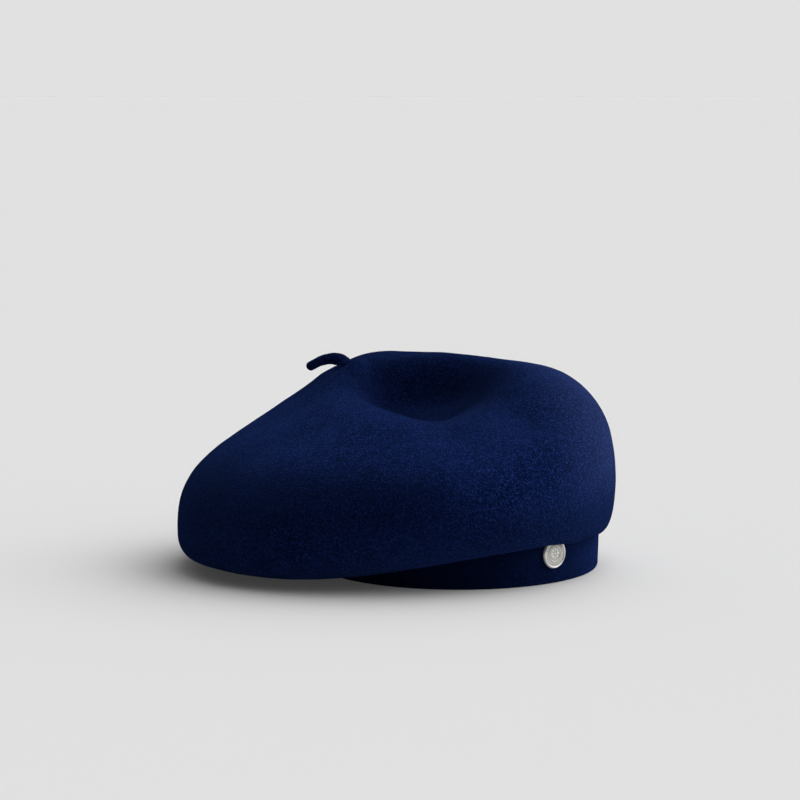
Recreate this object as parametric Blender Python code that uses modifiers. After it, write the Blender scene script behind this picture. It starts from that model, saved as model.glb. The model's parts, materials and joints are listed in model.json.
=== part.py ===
"""A blocked wool-felt beret that slouches to the wearer's right, standing on its headband.

Metres, +Z up. -Y is the front, +X the wearer's left. The origin is the centre of the
footprint, on the surface that the beret stands on.
"""

import math

import bmesh
import bpy
from mathutils import Matrix, Vector

MM = 0.001
GAP = 0.3 * MM  # air between pieces that touch

# Head opening: an oval for a 57 to 58 cm head, 37.5 mm to the right of the crown's middle.
BAND_CENTRE = Vector((37.5 * MM, 0.0))
BAND_HALF = Vector((90 * MM, 102 * MM))
BAND_FELT = 3 * MM
BAND_TOP = 29.5 * MM

# Sweatband: a grosgrain ribbon inside the headband.
SWEAT_RIBBON = 0.8 * MM
SWEAT_LOW = 1.5 * MM
SWEAT_TOP = 28.5 * MM
SWEAT_INSET = BAND_FELT + 0.4 * MM

# Crown: one moulded felt hood.
CROWN_FELT = 2.5 * MM
CROWN_HALF = Vector((137.5 * MM, 127.5 * MM))
CROWN_SQUARENESS = 2.19
CROWN_RAYS = 48
FOLD_STEPS = 5
ROLL_STEPS = 4
UPPER_STEPS = 16
SEAM_Z = 30.4 * MM
APEX = Vector((-33.8 * MM, 38 * MM, 121.8 * MM))
STALK_HOLE = 2.9 * MM
STALK_COLLAR = 7 * MM

# The hollow pressed into the top, steeper at its back than at its front.
DENT_CENTRE = Vector((17.2 * MM, 3.8 * MM))
DENT_SIDES = 39.8 * MM
DENT_FRONT = 50 * MM
DENT_BACK = 35.7 * MM
DENT_SKEW = 0.15
DENT_DEPTH = 33 * MM

# Lining: satin, in two pieces.
LINING_CLOTH = 0.6 * MM
LINING_INSET = 6 * MM

# Badge, on the headband to the right of the front.
BADGE_ANGLE = math.radians(-51)
BADGE_Z = 18.7 * MM
BADGE_RADIUS = 9 * MM
BADGE_THICK = 2.4 * MM
POST_RADIUS = 0.6 * MM
POST_HOLE = 0.95 * MM
POST_LENGTH = 9.6 * MM

# Stalk: a rolled felt cord that curls over to the wearer's right.
STALK_RADIUS = 2.8 * MM

THREAD_RADIUS = 0.2 * MM


# ---------------------------------------------------------------- helpers


def clear_scene():
    for thing in list(bpy.data.objects):
        bpy.data.objects.remove(thing)


def new_collection(name):
    made = bpy.data.collections.new(name)
    bpy.context.scene.collection.children.link(made)
    return made


def new_material(name, colour, roughness, metallic=0.0):
    made = bpy.data.materials.new(name)
    made.use_nodes = True
    shader = made.node_tree.nodes["Principled BSDF"]
    shader.inputs["Base Color"].default_value = (*colour, 1.0)
    shader.inputs["Roughness"].default_value = roughness
    shader.inputs["Metallic"].default_value = metallic
    made.diffuse_color = (*colour, 1.0)
    return made


def add_object(name, data, material, collection):
    made = bpy.data.objects.new(name, data)
    data.materials.append(material)
    collection.objects.link(made)
    return made


def mesh_from(name, shape):
    """A mesh data block from a bmesh, with its faces turned outwards and shaded smooth."""
    bmesh.ops.recalc_face_normals(shape, faces=shape.faces)
    made = bpy.data.meshes.new(name)
    shape.to_mesh(made)
    shape.free()
    made.shade_smooth()
    return made


def smoothstep(low, high, value):
    t = min(1.0, max(0.0, (value - low) / (high - low)))
    return t * t * (3 - 2 * t)


def mix(a, b, t):
    return a + (b - a) * t


def bezier(points, t):
    """A point on the cubic curve through points[0] and points[3]."""
    while len(points) > 1:
        points = [a.lerp(b, t) for a, b in zip(points, points[1:])]
    return points[0]


def solidify(thing, thickness):
    """Gives an open surface its thickness, on the inner side."""
    made = thing.modifiers.new("thickness", "SOLIDIFY")
    made.thickness = thickness
    made.offset = -1
    made.use_even_offset = False


def bevel(thing, width, segments=2):
    made = thing.modifiers.new("rounded", "BEVEL")
    made.width = width
    made.segments = segments
    made.limit_method = "ANGLE"


def cut(thing, cutter):
    made = thing.modifiers.new("hole", "BOOLEAN")
    made.operation = "DIFFERENCE"
    made.object = cutter


def frame_at(point, outward, up=Vector((0, 0, 1))):
    """A matrix whose origin is the point and whose Z axis points outward."""
    z = outward.normalized()
    x = up.cross(z).normalized()
    return Matrix.Translation(point) @ Matrix((x, z.cross(x), z)).transposed().to_4x4()


def thread_line(name, points, radius, ring, material, collection):
    """A thread that runs through the points, as a thin square tube."""
    line = bpy.data.curves.new(name, "CURVE")
    line.dimensions = "3D"
    line.bevel_depth = radius
    line.bevel_resolution = 0
    line.use_fill_caps = not ring
    spline = line.splines.new("POLY")
    spline.points.add(len(points) - 1)
    for point, at in zip(spline.points, points):
        point.co = (*at, 1)
    spline.use_cyclic_u = ring
    return add_object(name, line, material, collection)


# ---------------------------------------------------------------- the oval of the head


def oval_point(angle, inset=0.0):
    """A point of the headband's outer oval in plan, or of one inset from it."""
    half = BAND_HALF - Vector((inset, inset))
    return BAND_CENTRE + Vector((half.x * math.cos(angle), half.y * math.sin(angle)))


def oval_normal(angle):
    return Vector((math.cos(angle) / BAND_HALF.x, math.sin(angle) / BAND_HALF.y, 0)).normalized()


def oval_ribbon(name, material, collection, inset, low, top, thickness, start, end, columns):
    """A strip that follows the oval from one angle to another, its outer face at the inset."""
    shape = bmesh.new()
    bmesh.ops.create_grid(shape, x_segments=columns, y_segments=1, size=1)
    for vertex in shape.verts:
        angle = mix(start, end, (vertex.co.x + 1) / 2)
        height = mix(low, top, (vertex.co.y + 1) / 2)
        vertex.co = (*oval_point(angle, inset), height)
    outward = [f.normal.dot(f.calc_center_median() - BAND_CENTRE.to_3d()) for f in shape.faces]
    if sum(outward) < 0:
        bmesh.ops.reverse_faces(shape, faces=shape.faces)
    mesh = bpy.data.meshes.new(name)
    shape.to_mesh(mesh)
    shape.free()
    made = add_object(name, mesh, material, collection)
    solidify(made, thickness)
    return made


# ---------------------------------------------------------------- the crown's form


def blend(direction, right, back, left, front):
    """One value for a direction, from the values straight right, back, left and front."""
    sideways = right if direction.x > 0 else left
    lengthways = back if direction.y > 0 else front
    return sideways * direction.x**2 + lengthways * direction.y**2


def reach_of_crown(direction, inset):
    """How far the crown's outline is from the middle of the head opening, in a direction."""
    near, far = 0.0, 3 * CROWN_HALF.x
    half = CROWN_HALF - Vector((inset, inset))
    for _ in range(40):
        middle = (near + far) / 2
        at = BAND_CENTRE + direction * middle
        level = abs(at.x / half.x) ** CROWN_SQUARENESS + abs(at.y / half.y) ** CROWN_SQUARENESS
        near, far = (middle, far) if level < 1 else (near, middle)
    return near


def reach_of_band(direction, inset=0.0):
    half = BAND_HALF - Vector((inset, inset))
    return 1 / math.hypot(direction.x / half.x, direction.y / half.y)


def rim_low(x):
    """Height of the lowest line of the rim: near the table at the left, lifted at the right."""
    lifted = 19.9 * MM * smoothstep(-86.4 * MM, 111.7 * MM, x)
    return 5.5 * MM + lifted - 1.6 * MM * smoothstep(100 * MM, 137 * MM, x)


def headroom_at(direction):
    """1 where the badge is, 0 away from it: the fold of the crown is lifted over the badge."""
    towards = (Vector(oval_point(BADGE_ANGLE)) - BAND_CENTRE).normalized()
    return 1 - smoothstep(math.radians(6), math.radians(20), direction.angle(towards))


def dent(at, wider=0.0):
    """How far the hollow is pressed in at a point in plan."""
    across = at.x - DENT_CENTRE.x + DENT_SKEW * (at.y - DENT_CENTRE.y)
    along = at.y - DENT_CENTRE.y
    reach = (DENT_BACK if along > 0 else DENT_FRONT) + wider
    away = math.hypot(across / (DENT_SIDES + wider), along / reach)
    return DENT_DEPTH * math.exp(-(away**3.2))


TOP_Z = APEX.z - dent(APEX)  # where the stalk leaves the crown


def upper_curve(direction, equator, inset):
    """From the widest line of the crown up to the hole for the stalk, as a cubic curve."""
    apex = APEX - Vector((0, 0, inset))
    inwards = (apex - equator).xy.normalized()
    collar = Vector((*(apex.xy - inwards * STALK_COLLAR), apex.z))
    rise = apex.z - equator.z
    wall = blend(direction, 1.15, 1.06, 0.525, 0.456)
    reach = blend(direction, 0.69, 0.516, 0.632, 0.638)
    drop = blend(direction, -0.149, -0.168, 0.579, 0.20)
    shoulder = apex.lerp(equator, reach)
    shoulder.z = apex.z - drop * rise
    return [equator, equator + Vector((0, 0, wall * rise)), shoulder, collar]


def upper_section(direction, equator, inset):
    """The crown's upper surface in one vertical plane, with the hollow pressed into it."""
    curve = upper_curve(direction, equator, inset)
    section = []
    for step in range(1, UPPER_STEPS):
        at = bezier(curve, step / UPPER_STEPS)
        section.append(at - Vector((0, 0, dent(at, inset / 2))))
    top = TOP_Z - inset
    to_hole = STALK_HOLE / STALK_COLLAR
    section.append(Vector((*curve[3].xy, top)))
    section.append(Vector((*curve[3].xy.lerp(APEX.xy, 1 - to_hole), top)))
    return section


def widest_z(x):
    return mix(26.3 * MM, 53.3 * MM, smoothstep(-130 * MM, 130 * MM, x))


def crown_section(direction):
    """The crown's outer surface in one vertical plane, from the head opening to the stalk."""
    band = reach_of_band(direction)
    width = reach_of_crown(direction, 0) - band
    rim = BAND_CENTRE + direction * (band + width)
    low = rim_low(rim.x)
    fold = width * blend(direction, 0.303, 0.50, 0.716, 0.412)
    over_badge = headroom_at(direction)
    lip = Vector((0.3 * MM, SEAM_Z + 0.4 * MM))
    below = [
        lip,
        lip + Vector((mix(0.08 * fold, 5 * MM, over_badge), -0.2 * MM)),
        Vector((mix(0.32 * fold, 6 * MM, over_badge), low + 2 * MM * over_badge)),
        Vector((fold, low)),
    ]
    profile = [Vector((-BAND_FELT, SEAM_Z + 0.2 * MM))]
    profile += [bezier(below, step / FOLD_STEPS) for step in range(FOLD_STEPS + 1)]
    widest = widest_z(rim.x)
    power = 2 / (2 + 1.42 * smoothstep(0, -110 * MM, rim.x))
    for step in range(1, ROLL_STEPS + 1):
        turn = math.pi / 2 * step / ROLL_STEPS
        out = fold + (width - fold) * math.sin(turn) ** power
        profile.append(Vector((out, widest - (widest - low) * abs(math.cos(turn)) ** power)))
    section = [Vector((*(BAND_CENTRE + direction * (band + q)), z)) for q, z in profile]
    return section + upper_section(direction, section[-1], 0)


def lining_section(direction):
    """The lining hangs inside the crown and bridges the fold of its rim."""
    band = reach_of_band(direction)
    width = reach_of_crown(direction, LINING_INSET) - band
    rim = BAND_CENTRE + direction * (band + width)
    hang = smoothstep(12 * MM, 50 * MM, width)
    floor = mix(38 * MM, rim_low(rim.x) + 10 * MM, hang)
    widest = widest_z(rim.x) + mix(4 * MM, 2 * MM, hang)
    profile = [
        (-4.4 * MM, 34.6 * MM),
        (mix(-1 * MM, 2 * MM, hang), 35.2 * MM),
        (0.60 * width, floor),
        (0.93 * width, mix(floor, widest, 0.5)),
        (width, widest),
    ]
    section = [Vector((*(BAND_CENTRE + direction * (band + q)), z)) for q, z in profile]
    return section + upper_section(direction, section[-1], LINING_INSET)


def loft(sections, closed_end=None):
    """A bmesh skin over sections that stand round an axis, closed by a fan at the last point."""
    shape = bmesh.new()
    columns = [[shape.verts.new(point) for point in section] for section in sections]
    for this, following in zip(columns, columns[1:] + columns[:1]):
        for row in range(len(this) - 1):
            shape.faces.new((this[row], following[row], following[row + 1], this[row + 1]))
    if closed_end:
        middle = shape.verts.new(closed_end)
        for this, following in zip(columns, columns[1:] + columns[:1]):
            shape.faces.new((this[-1], following[-1], middle))
    return shape


def rays():
    turns = [math.tau * i / CROWN_RAYS for i in range(CROWN_RAYS)]
    return [Vector((math.cos(turn), math.sin(turn))) for turn in turns]


def skin(name, shape, material, collection, thickness):
    """An object from an open skin whose faces look away from the hollow."""
    mesh = bpy.data.meshes.new(name)
    shape.to_mesh(mesh)
    shape.free()
    mesh.shade_smooth()
    solidify(add_object(name, mesh, material, collection), thickness)


def make_crown(felt, collection):
    sections = [crown_section(direction) for direction in rays()]
    skin("crown", loft(sections), felt, collection, CROWN_FELT)


def make_lining(satin, thread, collection):
    """A side strip and a tip, and the thread that joins them, in the gap between the two."""
    sections = [lining_section(direction) for direction in rays()]
    seam_row = 4 + UPPER_STEPS // 2
    side = [section[: seam_row + 1] for section in sections]
    skin("lining_side", loft(side), satin, collection, LINING_CLOTH)
    join = 0.10  # the tip starts this share of a step further in
    tip = []
    seam = []
    for section in sections:
        first = section[seam_row].lerp(section[seam_row + 1], join)
        seam.append(section[seam_row].lerp(first, 0.5))
        tip.append([first] + section[seam_row + 1 :])
    middle = Vector((*APEX.xy, TOP_Z - LINING_INSET))
    skin("lining_tip", loft(tip, middle), satin, collection, LINING_CLOTH)
    thread_line("lining_thread", seam, 0.15 * MM, True, thread, collection)


# ---------------------------------------------------------------- headband and sweatband


def badge_frame():
    """Origin on the headband's outer face behind the badge, Z pointing straight out of it."""
    at = Vector((*oval_point(BADGE_ANGLE), BADGE_Z))
    return frame_at(at, oval_normal(BADGE_ANGLE))


def cylinder(name, radius, low, top, place, segments=24):
    shape = bmesh.new()
    bmesh.ops.create_cone(
        shape, cap_ends=True, segments=segments, radius1=radius, radius2=radius, depth=top - low
    )
    bmesh.ops.translate(shape, verts=shape.verts, vec=(0, 0, (low + top) / 2))
    bmesh.ops.transform(shape, verts=shape.verts, matrix=place)
    return mesh_from(name, shape)


def make_cutter(name, radius, low, top, place, collection):
    made = bpy.data.objects.new(name, cylinder(name, radius, low, top, place))
    made.hide_render = True
    made.display_type = "WIRE"
    collection.objects.link(made)
    return made


def make_bands(felt, grosgrain, collection, cutters):
    joint = GAP / BAND_HALF.x  # half the gap between the strip's two ends, at the back
    start, end = math.pi / 2 + joint, math.pi * 5 / 2 - joint
    hole = make_cutter("post_hole", POST_HOLE, -8 * MM, 4 * MM, badge_frame(), cutters)
    headband = oval_ribbon(
        "headband", felt, collection, 0, 0, BAND_TOP, BAND_FELT, start, end, 64
    )
    bevel(headband, 0.8 * MM)
    cut(headband, hole)
    sweatband = oval_ribbon(
        "sweatband", grosgrain, collection, SWEAT_INSET, SWEAT_LOW, SWEAT_TOP,
        SWEAT_RIBBON, start, end, 64,
    )
    cut(sweatband, hole)


# ---------------------------------------------------------------- bow and labels


def inner_frame(angle, height, inset):
    """Origin on the inner side of the sweatband, Z towards the head, X along the ribbon."""
    at = Vector((*oval_point(angle, inset), height))
    return frame_at(at, -oval_normal(angle))


def plate(name, size, place, material, collection, rounding):
    """A thin cloth rectangle, standing on its place's XY plane."""
    shape = bmesh.new()
    bmesh.ops.create_cube(shape, size=1)
    bmesh.ops.scale(shape, verts=shape.verts, vec=size)
    made = add_object(name, mesh_from(name, shape), material, collection)
    made.matrix_world = place
    bevel(made, rounding, 1)
    return made


def make_bow(grosgrain, collection):
    """The flat bow that covers the sweatband's joint at the back."""
    inset = SWEAT_INSET + SWEAT_RIBBON + GAP
    middle, ribbon, reach = 15 * MM, 0.45 * MM, 15 * MM
    knot_half = 2.4 * MM
    per_mm = 1 / (BAND_HALF.x - inset)  # turn of the oval for a length of ribbon, near its back
    hairpin = [
        (knot_half + GAP, 0),
        (reach * 0.6, 0),
        (reach - 0.9 * MM, 0),
        (reach, 0.9 * MM),
        (reach - 0.9 * MM, 1.9 * MM),
        (reach * 0.6, 2.1 * MM),
        (knot_half + GAP, 1.6 * MM),
    ]
    for name, side in (("bow_left_loop", -1), ("bow_right_loop", 1)):
        shape = bmesh.new()
        rows = []
        for along, off in hairpin:
            half = mix(2.2 * MM, 3.6 * MM, smoothstep(knot_half, reach, along))
            at = oval_point(math.pi / 2 + side * along * per_mm, inset + off)
            rows.append([shape.verts.new((*at, middle + h * half)) for h in (-1, 0, 1)])
        for this, following in zip(rows, rows[1:]):
            for low in range(2):
                corners = (this[low], following[low], following[low + 1], this[low + 1])
                shape.faces.new(corners if side > 0 else corners[::-1])
        mesh = bpy.data.meshes.new(name)
        shape.to_mesh(mesh)
        shape.free()
        solidify(add_object(name, mesh, grosgrain, collection), ribbon)
    place = inner_frame(math.pi / 2, middle, inset)
    plate(
        "bow_knot", (2 * knot_half, 5.4 * MM, 2.8 * MM),
        place @ Matrix.Translation((0, 0, 1.5 * MM)), grosgrain, collection, 0.7 * MM,
    )


def make_labels(label_cloth, tape, collection):
    inset = SWEAT_INSET + SWEAT_RIBBON + GAP
    oval_ribbon(
        "maker_label", label_cloth, collection, inset, 7 * MM, 23 * MM, 0.5 * MM,
        math.radians(112), math.radians(138), 10,
    )
    for name, angle, width, length in (
        ("care_label", math.radians(58), 16 * MM, 22 * MM),
        ("size_label", math.radians(150), 11 * MM, 14 * MM),
    ):
        top = inner_frame(angle, SWEAT_TOP - 1 * MM, inset + 0.75 * MM)
        holder = bpy.data.objects.new(name + "_fold", None)
        collection.objects.link(holder)
        holder.matrix_world = top
        hanging = plate(
            name, (width, length, 0.6 * MM), Matrix.Translation((0, -length / 2, 0.3 * MM)),
            tape, collection, 0.2 * MM,
        )
        hanging.parent = holder


# ---------------------------------------------------------------- badge and clutch


def turned(name, profile, place, material, collection, steps=32):
    """A solid turned about its place's Z axis, from (radius, height) points, top to bottom."""
    mesh = bpy.data.meshes.new(name)
    points = [(radius, 0, height) for radius, height in profile]
    mesh.from_pydata(points, [(i, i + 1) for i in range(len(points) - 1)], [])
    made = add_object(name, mesh, material, collection)
    made.matrix_world = place
    screw = made.modifiers.new("turn", "SCREW")
    screw.axis = "Z"
    screw.steps = steps
    screw.render_steps = steps
    screw.use_merge_vertices = True
    screw.merge_threshold = 0.00001
    return made


def make_badge(silver, brass, collection):
    """A cast disc on a single pin, held behind the sweatband by a spring clutch."""
    place = badge_frame()
    back, face = GAP, GAP + BADGE_THICK
    socket = POST_RADIUS + 0.15 * MM
    disc = [
        (0, face - 0.5 * MM),
        (BADGE_RADIUS - 1.7 * MM, face - 0.5 * MM),
        (BADGE_RADIUS - 1.3 * MM, face),
        (BADGE_RADIUS - 0.4 * MM, face),
        (BADGE_RADIUS, face - 0.4 * MM),
        (BADGE_RADIUS, back + 0.3 * MM),
        (BADGE_RADIUS - 0.3 * MM, back),
        (socket, back),
        (socket, back + 0.9 * MM),
        (0, back + 0.9 * MM),
    ]
    turned("badge_disc", disc, place, silver, collection, 40)
    tip = back - POST_LENGTH
    post = [
        (0, back + 0.7 * MM),
        (POST_RADIUS, back + 0.7 * MM),
        (POST_RADIUS, tip + 1.6 * MM),
        (POST_RADIUS * 0.7, tip + 1.4 * MM),
        (POST_RADIUS * 0.7, tip + 1.1 * MM),
        (POST_RADIUS, tip + 0.9 * MM),
        (0, tip),
    ]
    turned("badge_post", post, place, brass, collection, 16)
    make_clutch(place, brass, collection)


def make_clutch(place, brass, collection):
    """A butterfly clutch: a round cup gripping the pin, and two wings to squeeze."""
    seat = -(SWEAT_INSET + SWEAT_RIBBON + GAP)
    bore = POST_RADIUS + 0.2 * MM
    cup = [
        (bore, seat),
        (4.6 * MM, seat),
        (5 * MM, seat - 0.4 * MM),
        (5 * MM, seat - 1.2 * MM),
        (2.6 * MM, seat - 1.4 * MM),
        (2.2 * MM, seat - 3.2 * MM),
        (bore, seat - 3.2 * MM),
        (bore, seat),
    ]
    turned("clutch_cup", cup, place, brass, collection, 24)
    for name, side in (("clutch_wing_front", -1), ("clutch_wing_back", 1)):
        hinge = bpy.data.objects.new(name + "_hinge", None)
        collection.objects.link(hinge)
        root = Vector((side * 3.1 * MM, 0, seat - 1.9 * MM))
        hinge.matrix_world = place @ Matrix.Translation(root)
        lean = Matrix.Rotation(side * math.radians(-42), 4, "Y")
        shift = Matrix.Translation((0, 0, -2.2 * MM))
        wing = plate(name, (0.5 * MM, 5.2 * MM, 4.4 * MM), lean @ shift, brass, collection, 0.12 * MM)
        wing.parent = hinge


# ---------------------------------------------------------------- stalk


def make_stalk(felt, collection):
    """The sewn root through the crown's hole, and the free cord that bends above it."""
    top = TOP_Z + 0.2 * MM
    inner = TOP_Z - CROWN_FELT
    root = [
        (0, top),
        (STALK_HOLE - GAP, top),
        (STALK_HOLE - GAP, inner - 0.6 * MM),
        (4.6 * MM, inner - 0.6 * MM),
        (4.6 * MM, inner - 2.0 * MM),
        (0, inner - 2.2 * MM),
    ]
    turned("stalk_root", root, Matrix.Translation((APEX.x, APEX.y, 0)), felt, collection, 16)
    neck = 0.36  # the stalk's ends are this share of its full thickness
    pivot = Vector((APEX.x, APEX.y, top + GAP + neck * STALK_RADIUS))
    holder = bpy.data.objects.new("stalk_bend", None)
    collection.objects.link(holder)
    holder.location = pivot
    curl = [
        Vector((0, 0, 0)),
        Vector((-4 * MM, 0, 4 * MM)),
        Vector((-12 * MM, -0.5 * MM, 4.2 * MM)),
        Vector((-20.9 * MM, -1.5 * MM, -2.6 * MM)),
    ]
    line = bpy.data.curves.new("stalk", "CURVE")
    line.dimensions = "3D"
    line.bevel_depth = STALK_RADIUS
    line.bevel_resolution = 3
    line.use_fill_caps = True
    spline = line.splines.new("POLY")
    count = 14
    spline.points.add(count - 1)
    for index in range(count):
        t = index / (count - 1)
        at = bezier(curl, t)
        spline.points[index].co = (*at, 1)
        full = min(t / 0.30, (1 - t) / 0.14, 1)
        spline.points[index].radius = mix(neck, 1, math.sqrt(full * (2 - full)))
    stalk = add_object("stalk", line, felt, collection)
    stalk.parent = holder


# ---------------------------------------------------------------- threads


def make_threads(thread, collection):
    """The seams round the head opening, and the zigzag that closes the headband at the back."""
    turns = [math.tau * index / 72 for index in range(72)]
    for name, inset, height in (
        ("crown_seam_thread", BAND_FELT / 2, (BAND_TOP + SEAM_Z) / 2),
        ("sweatband_thread", SWEAT_INSET + SWEAT_RIBBON + 0.35 * MM, SWEAT_LOW + 1.5 * MM),
    ):
        ring = [Vector((*oval_point(turn, inset), height)) for turn in turns]
        thread_line(name, ring, THREAD_RADIUS, True, thread, collection)
    half_stitch = 1.3 * MM
    behind = BAND_HALF.y + THREAD_RADIUS + GAP
    zigzag = []
    for index in range(13):
        side = 1 if index % 2 else -1
        height = mix(3 * MM, BAND_TOP - 3 * MM, index / 12)
        zigzag.append(Vector((BAND_CENTRE.x + side * half_stitch, behind, height)))
    thread_line("back_joint_thread", zigzag, THREAD_RADIUS, False, thread, collection)


# ---------------------------------------------------------------- the beret


def main():
    clear_scene()
    beret = new_collection("beret")
    cutters = new_collection("cutters")
    felt = new_material("navy_felt", (0.012, 0.020, 0.085), 0.95)
    grosgrain = new_material("grosgrain", (0.008, 0.011, 0.035), 0.7)
    satin = new_material("satin_lining", (0.010, 0.014, 0.045), 0.35)
    tape = new_material("label_tape", (0.80, 0.80, 0.78), 0.6)
    label_cloth = new_material("woven_label", (0.05, 0.055, 0.09), 0.6)
    silver = new_material("silver", (0.76, 0.75, 0.70), 0.3, 1.0)
    brass = new_material("brass", (0.75, 0.60, 0.32), 0.3, 1.0)
    thread = new_material("thread", (0.012, 0.018, 0.06), 0.8)
    make_crown(felt, beret)
    make_lining(satin, thread, beret)
    make_bands(felt, grosgrain, beret, cutters)
    make_bow(grosgrain, beret)
    make_labels(label_cloth, tape, beret)
    make_badge(silver, brass, beret)
    make_stalk(felt, beret)
    make_threads(thread, beret)


main()
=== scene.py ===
"""The looks of a navy wool-felt beret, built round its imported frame. Metres, +Z up, -Y the front."""

import itertools
import json
import math

import bpy
import numpy as np
from mathutils import Matrix, Vector, noise
from mathutils.bvhtree import BVHTree


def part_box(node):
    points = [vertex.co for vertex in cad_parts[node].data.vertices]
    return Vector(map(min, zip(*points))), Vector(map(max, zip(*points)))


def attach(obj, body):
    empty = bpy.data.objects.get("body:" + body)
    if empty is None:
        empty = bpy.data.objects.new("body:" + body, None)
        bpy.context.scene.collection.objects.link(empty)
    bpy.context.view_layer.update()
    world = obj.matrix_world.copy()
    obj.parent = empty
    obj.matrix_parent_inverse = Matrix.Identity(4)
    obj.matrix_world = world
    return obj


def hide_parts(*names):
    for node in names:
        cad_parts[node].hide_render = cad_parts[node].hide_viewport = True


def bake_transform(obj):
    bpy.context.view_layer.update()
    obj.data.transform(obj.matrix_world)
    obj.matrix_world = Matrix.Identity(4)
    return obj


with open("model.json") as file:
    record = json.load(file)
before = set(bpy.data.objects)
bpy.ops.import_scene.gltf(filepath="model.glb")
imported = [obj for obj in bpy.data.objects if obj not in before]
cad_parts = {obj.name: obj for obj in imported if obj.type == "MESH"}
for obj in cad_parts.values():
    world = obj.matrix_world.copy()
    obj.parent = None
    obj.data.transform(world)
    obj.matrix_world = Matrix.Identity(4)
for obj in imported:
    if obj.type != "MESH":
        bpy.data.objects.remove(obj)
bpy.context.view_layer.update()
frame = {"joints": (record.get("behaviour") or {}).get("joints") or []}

MM = 0.001
GAP = 0.3 * MM
UP = Vector((0, 0, 1))


def joint(name):
    return next(j for j in frame["joints"] if j["name"] == name)


def box_size(node):
    low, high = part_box(node)
    return high - low


# ---- driving dimensions, from the frame

band_low, band_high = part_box("headband")
BAND_CENTRE = np.array(((band_low.x + band_high.x) / 2, (band_low.y + band_high.y) / 2))
BAND_HALF = np.array(((band_high.x - band_low.x) / 2, (band_high.y - band_low.y) / 2))
BAND_TOP = band_high.z
BAND_FELT = 3 * MM
SEAM_Z = BAND_TOP + 0.9 * MM

_, crown_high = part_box("crown")
CROWN_HALF = np.array((crown_high.x, crown_high.y))
CROWN_SQUARENESS = 2.19
CROWN_FELT = 2.5 * MM

STALK_ROOT = Vector(joint("stalk_bend")["pos_m"])
APEX = np.array((STALK_ROOT.x, STALK_ROOT.y, 121.8 * MM))
STALK_HOLE = 2.9 * MM
STALK_COLLAR = 7 * MM
COLLAR_TILT = 0.62
TOP_Z = STALK_ROOT.z - 1.5 * MM
STALK_RADIUS = 2.8 * MM

DENT_CENTRE = np.array((17.2 * MM, 3.8 * MM))
DENT_SIDES = 39.8 * MM
DENT_FRONT = 50 * MM
DENT_BACK = 35.7 * MM
DENT_SKEW = 0.15
DENT_DEPTH = 33 * MM
FOLD_LINE = ((46, 14), (84, -78))
FOLD_WIDTH = 13 * MM
FOLD_DEPTH = 2.6 * MM
# where shade is painted onto the felt: the hollow's shape, moved along X and Y and widened, in millimetres
HOLLOW_SHADE = ((4, 2, 7), (12, -10, 9), (-18, 14, 7), (-8, 28, 8))
# (middle along X, half width, lift) of slight swells of the top, in millimetres
TOP_UNEVENNESS = ((30, 13, 0.6), (69, 15, -0.8), (104, 14, 1.1))

LINING_INSET = 6 * MM
SWEAT_INSET = BAND_FELT + 0.4 * MM
SWEAT_RIBBON = 0.8 * MM

BADGE_AT = Vector(joint("badge_spin")["pos_m"])
BADGE_OUT = Vector(joint("badge_spin")["axis"]).normalized()
BADGE_RADIUS = box_size("badge_disc").z / 2
BADGE_THICK = 2.4 * MM
RELIEF_HEIGHT = 0.75 * MM
PIN_LENGTH = 9.6 * MM
PIN_RADIUS = 0.6 * MM


# ---- small maths


def smoothstep(low, high, value):
    t = np.clip((value - low) / (high - low), 0, 1)
    return t * t * (3 - 2 * t)


def mix(a, b, t):
    return a + (b - a) * t


def unit(vectors):
    return vectors / np.linalg.norm(vectors, axis=-1)[..., None]


def circle(turn):
    return np.stack([np.cos(turn), np.sin(turn)], -1)


def length_along(points):
    """How far along a line each of its points is."""
    return np.concatenate([[0], np.cumsum(np.linalg.norm(np.diff(points, axis=0), axis=1))])


def blend_by_side(way, right, back, left, front):
    """One value for each direction, from the values straight right, back, left and front."""
    sideways = np.where(way[..., 0] > 0, right, left)
    lengthways = np.where(way[..., 1] > 0, back, front)
    return sideways * way[..., 0] ** 2 + lengthways * way[..., 1] ** 2


def bezier(points, t):
    """Points on the cubic curves through points[0] and points[3], for each t of a list."""
    t = np.asarray(t).reshape(-1, *(1,) * points[0].ndim)
    s = 1 - t
    a, b, c, d = points
    return a * s**3 + 3 * b * s * s * t + 3 * c * s * t * t + d * t**3


# ---- meshes


def new_object(name, data, *materials):
    made = bpy.data.objects.new(name, data)
    for material in materials:
        data.materials.append(material)
    bpy.context.scene.collection.objects.link(made)
    return made


def mesh_object(name, points, faces, *materials):
    mesh = bpy.data.meshes.new(name)
    mesh.from_pydata([tuple(p) for p in points], [], [tuple(f) for f in faces])
    mesh.update()
    mesh.shade_smooth()
    return new_object(name, mesh, *materials)


def grid_faces(rows, columns, ring, start=0):
    """Quads over rows of columns of points. A ring joins the last column to the first."""
    r, c = np.meshgrid(np.arange(rows - 1), np.arange(columns if ring else columns - 1), indexing="ij")
    after = (c + 1) % columns
    corners = (r * columns + c, r * columns + after, (r + 1) * columns + after, (r + 1) * columns + c)
    return np.stack([start + corner.ravel() for corner in corners], 1)


def grid_object(name, grid, ring, *materials):
    """A skin over a grid of points, of rows by columns by 3."""
    rows, columns = grid.shape[:2]
    return mesh_object(name, grid.reshape(-1, 3), grid_faces(rows, columns, ring), *materials)


def point_values(thing, name, values):
    """A named value, or vector, at each point, for the materials to read."""
    values = np.asarray(values, np.float32)
    vector = values.ndim == 2
    made = thing.data.attributes.new(name, "FLOAT_VECTOR" if vector else "FLOAT", "POINT")
    made.data.foreach_set("vector" if vector else "value", values.ravel())


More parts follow.
